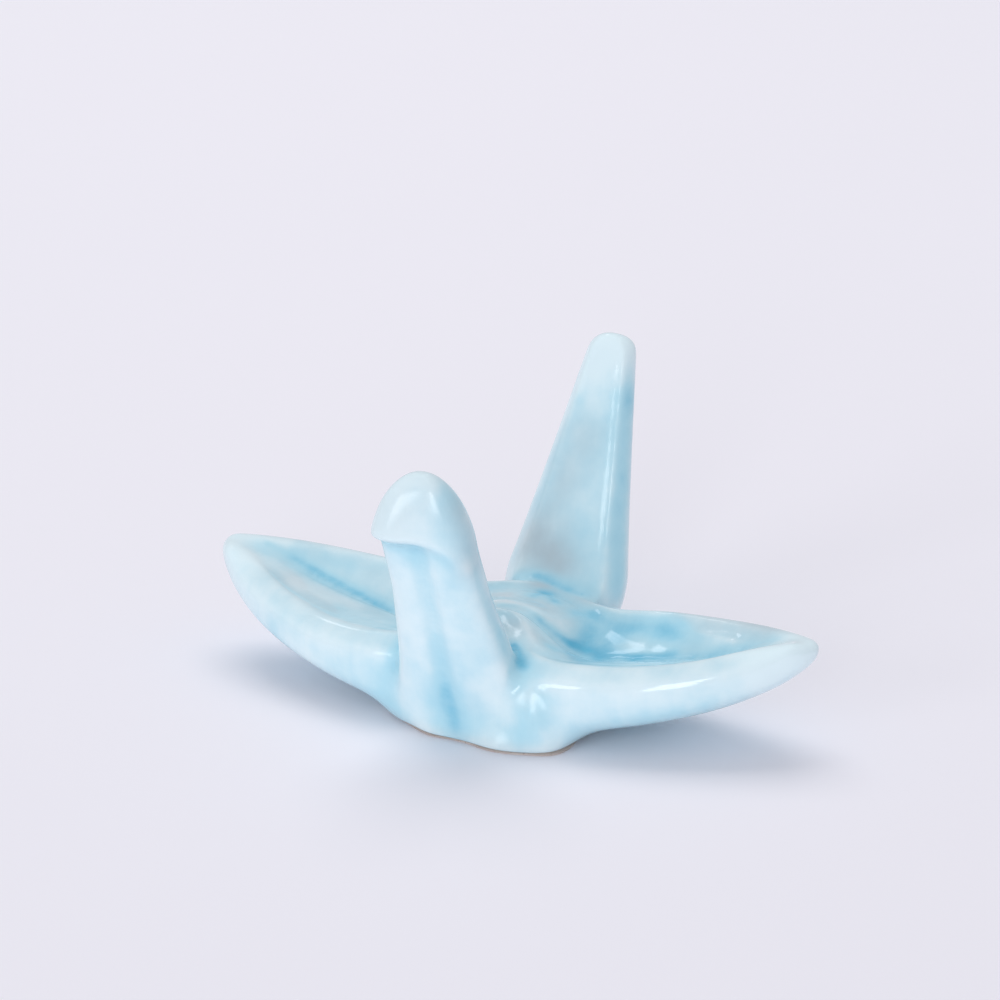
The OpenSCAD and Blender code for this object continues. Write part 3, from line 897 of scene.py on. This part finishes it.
def bare_porcelain():
    """The trimmed edge of the foot: fired clay with a pinkish flash and fine grit."""
    g = settings("crane_glaze")
    m = Finish("bare porcelain")
    place = m.place()
    grit = m.noise(place, GRIT)
    flash = m.noise(place, FLASH)
    colour = m.blend(full(g.bare), full(FLASH_TINT), flash.step(*FLASH_EDGE))
    colour = m.blend(colour, full(GRIT_TINT), grit.step(*GRIT_EDGE) * GRIT_SHOWN)
    relief = {"Strength": BUMP_STRENGTH, "Distance": CLAY_BUMP, "Height": grit}
    normal = m.node("ShaderNodeBump", {}, relief).outputs["Normal"]
    m.set({"Base Color": colour, "Roughness": CLAY_ROUGH + grit * GRIT_ROUGH, "Normal": normal})
    return m.material


MOTTLE = (6.0, 4.0)
MOTTLE_DARK = 0.97
TABLE_ROUGH, MOTTLE_ROUGH = 0.62, 0.1


def table_top():
    """A matt, pale table with a faint unevenness."""
    s = settings("crane_stage")
    m = Finish("pale table")
    mottle = m.noise(m.place(), MOTTLE)
    colour = m.blend(full(s.floor), full(tuple(MOTTLE_DARK * v for v in s.floor)), mottle)
    m.set({"Base Color": colour, "Roughness": TABLE_ROUGH + mottle * MOTTLE_ROUGH})
    return m.material


# Glaze runs, listed one by one. Each run is a line of places in millimetres with a reach in millimetres and
# an amount: of depth, where less than 0 is thinner, of grey veil, of satin sheen, and of calm, which
# flattens the bump under a highlight.
# The depth and veil runs marked below paint shade as well as glaze, so these two attributes hold both.
GLAZE_ATTRIBUTES = ("glaze_depth_and_shade", "glaze_veil_and_shade", "glaze_satin", "glaze_calm")
SHELF_EDGE = ((17.6, 7.2, 11.5), (19.2, 6.3, 11.2), (21.0, 5.1, 10.7), (23.1, 3.9, 10.5), (28.2, 3.6, 11.6))
LEFT_FOLD = ((-33.7, 2.6, 12.8), (-29.6, 3.1, 10.9), (-25.5, 3.0, 9.7), (-21.0, 2.3, 8.5), (-16.1, 0.9, 7.7))
BACK_FOLD = ((-1.2, 0.0, 11.5), (0.0, 0.3, 11.7), (1.3, 0.7, 11.6), (2.6, 0.5, 11.3), (3.9, 0.5, 10.7))
GLAZE_AND_SHADE_RUNS = (
    # The back and the right wing.
    (((5.6, 6.6, 9.9), (7.6, 7.3, 9.3)), 1.6, 0.6),
    (((7.9, 5.2, 8.6), (8.1, 2.8, 8.1)), 1.0, 0.2),
    (BACK_FOLD, 0.5, 0.45),
    (((1.0, -2.2, 12.0), (3.1, -3.0, 11.9)), 1.3, 0.3),
    (((4.1, 0.1, 10.5), (6.0, 0.6, 9.2), (7.8, 1.0, 8.0)), 0.7, 0.55),
    (((7.8, 1.0, 8.0), (10.6, 1.6, 7.4), (16.5, 1.4, 8.1), (20.1, 2.0, 8.9)), 1.0, 0.7),
    (((10.5, 5.6, 9.0), (14.0, 6.0, 9.5), (18.8, 5.2, 10.1)), 2.2, 0.6),
    (((16.4, 6.4, 10.4), (19.2, 5.2, 10.2), (22.0, 4.0, 10.1)), 1.6, 0.15),
    (SHELF_EDGE, 0.5, 0.2),
    (((9.1, 3.0, 7.9), (11.6, 3.4, 7.7)), 1.8, 0.5),
    (((7.9, -5.1, 9.8), (9.8, -2.2, 8.0), (12.0, -0.3, 7.3)), 1.1, 0.5),
    (((-0.7, 7.4, 10.4), (-0.2, 9.4, 10.0), (2.4, 7.4, 10.1)), 1.1, 0.85),
    (((4.9, -8.2, 10.4), (6.9, -11.0, 10.5), (7.7, -12.0, 10.0)), 0.9, 0.8),
    # The neck. The first two runs paint shade on the right-hand side of neck and head, with the glaze that
    # is thicker there.
    (((5.7, -18.6, 22.6), (6.1, -16.1, 18.2), (6.6, -14.5, 13.0)), 1.6, 0.55),
    (((3.6, -21.0, 32.0), (4.5, -21.3, 29.5), (5.1, -20.6, 26.5)), 2.8, 0.8),
    (((-0.4, -14.4, 5.4), (0.7, -14.6, 1.0)), 2.4, 0.7),
    (((0.8, -22.5, 25.4), (0.2, -18.1, 15.3)), 1.3, -0.3),
    # Painted shade under the hood's lip.
    (((-1.3, -21.2, 24.0), (1.8, -21.4, 24.4)), 1.4, 0.2),
    (((5.0, -21.0, 25.0), (5.5, -20.0, 23.5)), 1.2, -0.3),
    (((4.6, -15.6, 7.4), (6.7, -14.7, 5.0)), 1.5, -0.35),
    # The tail and its root. The first two runs paint shade on the tail's right-hand side, with the glaze
    # that pools there.
    (((2.9, 24.6, 32.8), (3.3, 23.6, 30.4)), 1.7, 0.4),
    (((3.3, 23.6, 30.4), (4.6, 19.8, 21.7), (5.9, 16.2, 13.1), (6.9, 15.1, 9.8)), 1.9, 0.75),
    (((-2.6, 22.0, 29.5), (-3.9, 19.0, 21.9), (-5.0, 17.3, 16.5)), 1.3, 0.45),
    (((0.0, 19.5, 25.0), (0.0, 16.0, 15.0)), 4.5, 0.3),
    # Painted shade in the crease where the tail meets the rear rim, with the glaze that gathers there.
    (((-3.4, 12.9, 10.6), (0.4, 12.2, 10.0), (2.6, 11.9, 9.7), (5.0, 12.4, 9.0)), 0.4, 0.4),
    # The belly beside the neck.
    (((-8.8, -13.0, 2.7), (-7.4, -13.0, 1.1)), 2.0, 0.45),
    (((10.1, -14.7, 2.6), (10.4, -14.4, 5.0)), 2.2, 0.6),
    # The left wing.
    (LEFT_FOLD, 0.4, 0.4),
    (((-30.1, 4.5, 12.4), (-27.6, 4.7, 11.8), (-23.5, 4.7, 10.8)), 1.3, 0.3),
    (((-27.5, -1.5, 10.6), (-20.0, -1.5, 9.0)), 1.8, -0.5),
    # The tips of wings and tail.
    (((-36.0, 2.0, 13.0), (-33.0, 0.0, 12.5)), 3.0, -0.4),
    (((36.0, 1.5, 13.0), (33.0, -1.0, 12.0)), 3.0, -0.4),
    (((0.0, 27.5, 37.0), (0.0, 25.5, 34.5)), 2.5, -0.5),
    # The outer faces of the wings.
    (((-17.0, -12.2, 5.9), (-10.8, -13.1, 4.9)), 2.5, 0.35),
    (((22.2, -10.1, 5.3), (28.7, -7.7, 7.6)), 2.0, 0.3),
    (((-35.0, 0.5, 9.0), (-27.0, -7.0, 8.0)), 2.6, 0.35),
    (((-25.2, -9.4, 8.6), (-21.7, -10.8, 7.8)), 2.0, 0.35),
)
# Grey veils, in the same way. Some also paint shade, as marked.
GLAZE_VEILS_AND_SHADE = (
    (((-4.5, 15.0, 13.5), (-1.0, 14.2, 12.0)), 3.0, 1.1),
    (((-1.0, 20.0, 26.0), (-2.5, 16.5, 17.0)), 3.2, 0.6),
    (((-3.0, 4.0, 11.5), (3.0, 4.5, 10.8)), 2.8, 0.5),
    (((2.0, -4.5, 12.0), (7.0, -5.0, 10.0)), 1.8, 0.5),
    (((-28.0, -1.0, 11.0), (-17.0, -1.5, 9.0)), 2.8, 0.3),
    (((-28.0, 4.0, 12.0), (-15.0, 5.0, 10.0)), 2.6, 0.2),
    (((-37.0, 1.0, 13.5), (-33.0, -1.0, 13.0)), 3.0, -0.4),
    (((37.0, 1.5, 13.0), (33.0, -1.0, 12.5)), 3.0, -0.4),
    (((0.0, 27.5, 37.0), (0.0, 25.5, 34.5)), 2.5, -0.4),
    # Grey painted shade in the same crease at the tail's root.
    (((-2.0, 11.0, 10.4), (6.0, 10.6, 9.6)), 1.5, 0.4),
    # Painted shade on the right-hand side of head and neck, with its grey glaze.
    (((4.8, -20.8, 30.0), (5.4, -19.0, 24.0)), 2.0, 0.5),
    (((20.0, 7.5, 11.2), (31.0, 5.0, 12.9)), 2.4, 0.5),
    (((-3.0, -25.0, 29.5), (2.0, -22.0, 31.5)), 3.5, 0.25),
)
GLAZE_CALM = (
    (((11.0, 3.0, 7.8), (21.0, 3.2, 9.3)), 3.0, 0.9),
    (((9.3, -14.0, 7.5), (14.0, -12.6, 8.5)), 2.0, 0.8),
    (((22.0, -10.6, 8.4), (29.0, -7.5, 10.5)), 2.2, 0.8),
    (((-4.5, -26.0, 29.0), (1.0, -23.5, 31.0)), 4.0, 0.8),
)
GLAZE_SATIN = (
    (((9.3, -14.2, 6.4), (12.2, -13.4, 6.1)), 1.3, 0.7),
    (((-4.5, -26.0, 27.5), (0.0, -23.5, 30.5), (3.0, -21.0, 32.0)), 5.5, 0.6),
    (((-9.0, -12.5, 7.0), (-12.0, -12.0, 8.0)), 3.0, 0.9),
    (((6.6, -14.5, 1.0), (3.0, -14.5, 2.0)), 2.5, 0.9),
)
MM = 1000
FAR = 1e9


def run_amounts(points, runs):
    """The amounts of all runs at each point: each falls off with the distance to its line as a bell."""
    total = np.zeros(len(points))
    p = points * MM
    for line, reach, amount in runs:
        near = np.full(len(p), FAR)
        for a, b in zip(np.array(line)[:-1], np.array(line)[1:]):
            t = clip((p - a) @ (b - a) / ((b - a) @ (b - a)))
            near = np.minimum(near, ((p - a - t[:, None] * (b - a)) ** 2).sum(axis=1))
        total += amount * np.exp(-near / reach**2)
    return total


def setting_values():
    """Every setting as text, so that a changed one asks for a new casting."""
    keys = [(name, key) for name in SETTINGS for key in SETTINGS[name].__annotations__]
    return tuple(str(np.array(getattr(settings(name), key))) for name, key in keys)


# The lobes between neck and wings, each with its middle and its reach along X, Y and Z.
RIGHT_GUSSET = ((0.0088, -0.0109, 0.0030), (0.0046, 0.0040, 0.0068))
LEFT_GUSSET = ((-0.0080, -0.0095, 0.0045), (0.0040, 0.0036, 0.0055))

# Where the skin is softened once more, each a start or an end with its reach: the neck's root below a
# height and ahead of a line, the front rims off the middle, on the outer faces and below a height, and the
# tips where they face up. All in metres, but for how steeply the outer faces come in and how far a normal
# points up.
ROOT_TOP, ROOT_BACK = (0.0075, 0.004), (-0.004, 0.004)
RIMS, RIMS_TOP = (0.010, 0.004), (0.0165, 0.001)
OUTER_STEEP, OUTER_START = 3, 1.2
TIPS, FACING = (0.029, 0.007), (0.1, 0.4)
TIPS_ROUNDS = 40


def soften(points, quads, edges):
    """Rounds every fold of the skin, and the neck's root, the front rims and the wings' tips further."""
    g = settings("crane_glaze")
    x, y, z = points.T
    off = np.abs(x)
    points = relax(points, edges, 1, g.soften)
    root = fade(z, *ROOT_TOP) * fade(y, *ROOT_BACK)
    points = relax(points, edges, root[:, None], g.soften_root)
    s = wing_sections(x)
    outer = ease((s["middle"] - y) / (s["middle"] - s["front_y"]) * OUTER_STEEP - OUTER_START)
    rims = outer * ramp(off, *RIMS) * fade(z, *RIMS_TOP)
    points = relax(points, edges, rims[:, None], g.soften_rim)
    tips = ramp(off, *TIPS) * ramp(outward(points, quads)[:, 2], *FACING)
    return relax(points, edges, tips[:, None], TIPS_ROUNDS)


@functools.cache
def casting(values):
    """The whole glazed skin, softened: its points and quads, their normals, the piece that each quad
    belongs to, its attributes and its material. It is made once for one set of values."""
    g = settings("crane_glaze")
    lobes = [gusset_grid(*RIGHT_GUSSET), gusset_grid(*LEFT_GUSSET)]
    grids = [trough_grid(), neck_grid(), tail_grid(), skirt_grid(), *lobes]
    points, quads, edges = cast_skin(grids, g.voxel, g.fillet)
    points = soften(points, quads, edges)
    normals = outward(points, quads)
    owner = piece_of(points[quads].mean(axis=1))
    return points, quads, normals, owner, glaze_state(points, edges, normals), celadon_glaze()


# The pieces of the skin, and the point deep in the cut of each that its fan runs to, in metres.
PIECES = ("body", "wing_left", "wing_right", "neck", "head", "tail")
CUT_MIDDLES = {
    "wing_left": (-0.0125, 0.0025, 0.0030),
    "wing_right": (0.0125, 0.0025, 0.0030),
    "neck": (0.0005, -0.0102, 0.0055),
    "head": (0.0, -0.0200, 0.0256),
    "tail": (0.0, 0.0152, 0.0068),
}

# The cuts, in metres: how far off the middle the wings begin, a place (y, z) on each slanted plane and the
# direction it faces, how far neck and head go to the left and right, and where the tail begins.
WING_CUT = 0.0125
FRONT_CUT, FRONT_FACING = (-0.0068, 0.0108), (-0.69, 0.73)
REAR_CUT, REAR_FACING = (0.0128, 0.0098), (0.61, 0.79)
FRONT_LEFT, FRONT_RIGHT = -0.0088, 0.0092
TAIL_FRONT = 0.008


def piece_of(places):
    """Which piece of PIECES each place of the skin belongs to. The pieces meet at level, upright and
    slanted planes through the folds where wings, neck, head and tail leave the back."""
    x, y, z = places.T
    front = FRONT_FACING[0] * (y - FRONT_CUT[0]) + FRONT_FACING[1] * (z - FRONT_CUT[1]) > 0
    front = front & (x > FRONT_LEFT) & (x < FRONT_RIGHT) & (y < 0)
    rear = REAR_FACING[0] * (y - REAR_CUT[0]) + REAR_FACING[1] * (z - REAR_CUT[1]) > 0
    body, left, right, neck, head, tail = range(len(PIECES))
    middle = np.where(rear & (y > TAIL_FRONT), tail, body)
    tests = [front & (z > settings("crane_head").hood), front, np.abs(x) < WING_CUT, x < 0]
    return np.select(tests, [head, neck, middle, left], right)


def glazed_piece(name):
    """One piece of the glazed skin as a closed mesh. Where it meets a neighbour it is closed by a fan from
    the cut's edge to a point deep in the cut, and it is shaded with the normals of the whole skin."""
    points, quads, normals, owner, found, material = casting(setting_values())
    ends = np.stack([quads, np.roll(quads, -1, axis=1)], axis=-1).reshape(-1, 2)
    low, high = ends.min(axis=1), ends.max(axis=1)
    first, second = np.lexsort((high, low)).reshape(-1, 2).T
    side = np.repeat(owner, 4)
    beyond = np.empty_like(side)
    beyond[first], beyond[second] = side[second], side[first]
    label = PIECES.index(name)
    kept, faces = np.unique(quads[owner == label], return_inverse=True)
    blocks, inner = [faces.reshape(-1, 4)], []
    for other in np.unique(beyond[(side == label) & (beyond != label)]):
        cut = np.searchsorted(kept, ends[(side == label) & (beyond == other)])
        hub = np.full(len(cut), len(kept) + len(inner))
        inner.append(CUT_MIDDLES[PIECES[max(label, other)]])
        blocks.append(np.stack([cut[:, 1], cut[:, 0], hub], axis=1))
    inner = np.array(inner)
    piece = mesh_object("glazed_" + name, np.concatenate([points[kept], inner]), blocks)
    piece.data.shade_smooth()
    shading = np.concatenate([normals[kept], 0 * inner + (0, 0, 1)])
    piece.data.normals_split_custom_set_from_vertices(shading.tolist())
    for key, values in zip(GLAZE_ATTRIBUTES, found):
        values = np.concatenate([values[kept], np.zeros(len(inner))]).astype(np.float32)
        piece.data.attributes.new(key, "FLOAT", "POINT").data.foreach_set("value", values)
    piece.data.materials.append(material)
    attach(piece, "root")
    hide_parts(name)


# The rings of the bare foot from below: how high each lies, where 1 is its top inside the glaze, and how
# far it is drawn in, where 1 is its rounding. FOOT_TOP is that top, to the height of the glaze line.
FOOT_RISES = (0, 0, 0.06, 0.5, 1)
FOOT_INSETS = (0.5, 0.08, 0, 0, 0.5)
FOOT_ROUNDING = 0.004
FOOT_TOP = 1.6
FOOT_AROUND = 360


def bare_foot():
    """The bare foot as a closed mesh: its outline with a rounded lower edge, up to inside the glaze."""
    f = settings("crane_foot")
    turn = np.linspace(0, 2 * np.pi, FOOT_AROUND, endpoint=False)[None, :]
    rise = np.array(FOOT_RISES)[:, None]
    inset = np.array(FOOT_INSETS)[:, None]
    x, y = foot_outline(turn, -f.inset - FOOT_ROUNDING * inset)
    grid = np.stack([x, y, f.line * FOOT_TOP * rise + 0 * x], axis=-1)
    piece = mesh_object("bare_foot", *tube(grid))
    piece.data.shade_smooth()
    piece.data.materials.append(bare_porcelain())
    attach(piece, "root")
    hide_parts("foot")


TABLE_HALF = 4.0
WORLD_TINT = (0.86, 0.87, 0.93, 1)
WORLD_STRENGTH = 0.60

# The card's aim is the bowl of the right wing, where the photograph shows a highlight.
CARD_AIM = (0.0165, 0.0025, 0.0085)

# Each light: its name, place, aim, size, power in watts and colour, and whether the glaze mirrors it.
LIGHTS = (
    ("overhead softbox", (-0.22, 0.30, 0.80), (0, 0.05, 0), (0.65, 0.60), 2.8, (1.0, 0.99, 0.98), False),
    ("window", (-0.275, -1.02, 0.32), (0, 0, 0.015), (0.34, 0.38), 1.45, (1.0, 1.0, 1.0), True),
    ("strip", (0.34, -1.00, 0.27), (0, 0, 0.015), (0.24, 0.62), 2.4, (1.0, 1.0, 1.0), True),
    ("card", (-0.608, 0.500, 0.766), CARD_AIM, (0.115, 0.10), 0.085, (0.97, 0.96, 1.0), True),
    ("front fill", (-0.05, -1.15, 0.22), (0, 0, 0.01), (1.1, 0.4), 0.45, (0.98, 0.99, 1.0), False),
)

# The camera: the width of its sensor in millimetres, and how near and far it sees, in metres.
SENSOR_WIDTH = 36
NEAREST, FARTHEST = 0.01, 20


def table():
    """A flat, square table under the crane."""
    half = TABLE_HALF
    corners = np.array([(-half, -half, 0), (half, -half, 0), (half, half, 0), (-half, half, 0)])
    top = mesh_object("table", corners, [np.array([[0, 1, 2, 3]])])
    top.data.materials.append(table_top())


def area_light(name, where, aim, size, power, colour, mirrored):
    """A rectangular lamp turned towards its aim."""
    lamp = bpy.data.lights.new(name, "AREA")
    lamp.shape = "RECTANGLE"
    lamp.size, lamp.size_y = size
    lamp.energy = power
    lamp.color = colour
    obj = bpy.data.objects.new(name, lamp)
    bpy.context.scene.collection.objects.link(obj)
    obj.location = where
    obj.rotation_euler = (Vector(aim) - Vector(where)).to_track_quat("-Z", "Y").to_euler()
    obj.visible_glossy = mirrored


def studio(scene):
    """The pale room round the table and its lights."""
    world = bpy.data.worlds.new("studio")
    world.use_nodes = True
    background = world.node_tree.nodes["Background"]
    background.inputs["Color"].default_value = WORLD_TINT
    background.inputs["Strength"].default_value = WORLD_STRENGTH
    scene.world = world
    for light in LIGHTS:
        area_light(*light)
    scene.view_settings.view_transform = "Standard"


def photograph_camera(scene):
    """The camera at the photograph's angle, at a distance from its aim along azimuth and elevation."""
    s = settings("crane_stage")
    camera = bpy.data.objects.new("camera", bpy.data.cameras.new("camera"))
    scene.collection.objects.link(camera)
    camera.data.sensor_width = SENSOR_WIDTH
    camera.data.lens = s.lens
    camera.data.clip_start, camera.data.clip_end = NEAREST, FARTHEST
    a, e = s.azimuth, s.elevation
    back = Vector((math.sin(a) * math.cos(e), -math.cos(a) * math.cos(e), math.sin(e)))
    camera.location = Vector((s.aim_x, s.aim_y, s.aim_z)) + back * s.distance
    camera.rotation_euler = back.to_track_quat("Z", "Y").to_euler()
    scene.camera = camera


class CRANE_OT_body(bpy.types.Operator):
    """Cast the back and belly, with the glazed skirt above the foot"""

    bl_idname = "crane.body"
    bl_label = "Body"

    def execute(self, context):
        glazed_piece("body")
        return {"FINISHED"}


class CRANE_OT_wings(bpy.types.Operator):
    """Cast the left and the right wing"""

    bl_idname = "crane.wings"
    bl_label = "Wings"

    def execute(self, context):
        glazed_piece("wing_left")
        glazed_piece("wing_right")
        return {"FINISHED"}


class CRANE_OT_neck(bpy.types.Operator):
    """Cast the neck, up to the head"""

    bl_idname = "crane.neck"
    bl_label = "Neck"

    def execute(self, context):
        glazed_piece("neck")
        return {"FINISHED"}


class CRANE_OT_head(bpy.types.Operator):
    """Cast the hooded head"""

    bl_idname = "crane.head"
    bl_label = "Head"

    def execute(self, context):
        glazed_piece("head")
        return {"FINISHED"}


class CRANE_OT_tail(bpy.types.Operator):
    """Cast the tail"""

    bl_idname = "crane.tail"
    bl_label = "Tail"

    def execute(self, context):
        glazed_piece("tail")
        return {"FINISHED"}


class CRANE_OT_foot(bpy.types.Operator):
    """Trim the bare foot that the crane stands on"""

    bl_idname = "crane.foot"
    bl_label = "Bare foot"

    def execute(self, context):
        bare_foot()
        return {"FINISHED"}


class CRANE_OT_stage(bpy.types.Operator):
    """Set the table, the soft studio light and the camera"""

    bl_idname = "crane.stage"
    bl_label = "Table, light and camera"

    def execute(self, context):
        table()
        studio(context.scene)
        photograph_camera(context.scene)
        return {"FINISHED"}


class CRANE_PT_rest(bpy.types.Panel):
    """Lists the pieces of the crane in the 3D view's sidebar"""

    bl_label = "Crane rest"
    bl_space_type = "VIEW_3D"
    bl_region_type = "UI"
    bl_category = "Crane rest"

    def draw(self, context):
        for operator in OPERATORS:
            self.layout.operator(operator.bl_idname)
        for name in SETTINGS:
            box = self.layout.box()
            for key in SETTINGS[name].__annotations__:
                box.prop(settings(name), key)


OPERATORS = (
    CRANE_OT_body,
    CRANE_OT_wings,
    CRANE_OT_neck,
    CRANE_OT_head,
    CRANE_OT_tail,
    CRANE_OT_foot,
    CRANE_OT_stage,
)
CLASSES = (*SETTINGS.values(), *OPERATORS, CRANE_PT_rest)


def register():
    for cls in CLASSES:
        bpy.utils.register_class(cls)
    for name, cls in SETTINGS.items():
        setattr(bpy.types.Scene, name, PointerProperty(type=cls))


def unregister():
    for name in SETTINGS:
        delattr(bpy.types.Scene, name)
    for cls in reversed(CLASSES):
        bpy.utils.unregister_class(cls)


def main():
    register()
    bpy.ops.crane.body()
    bpy.ops.crane.wings()
    bpy.ops.crane.neck()
    bpy.ops.crane.head()
    bpy.ops.crane.tail()
    bpy.ops.crane.foot()
    bpy.ops.crane.stage()


if __name__ == "__main__":
    main()
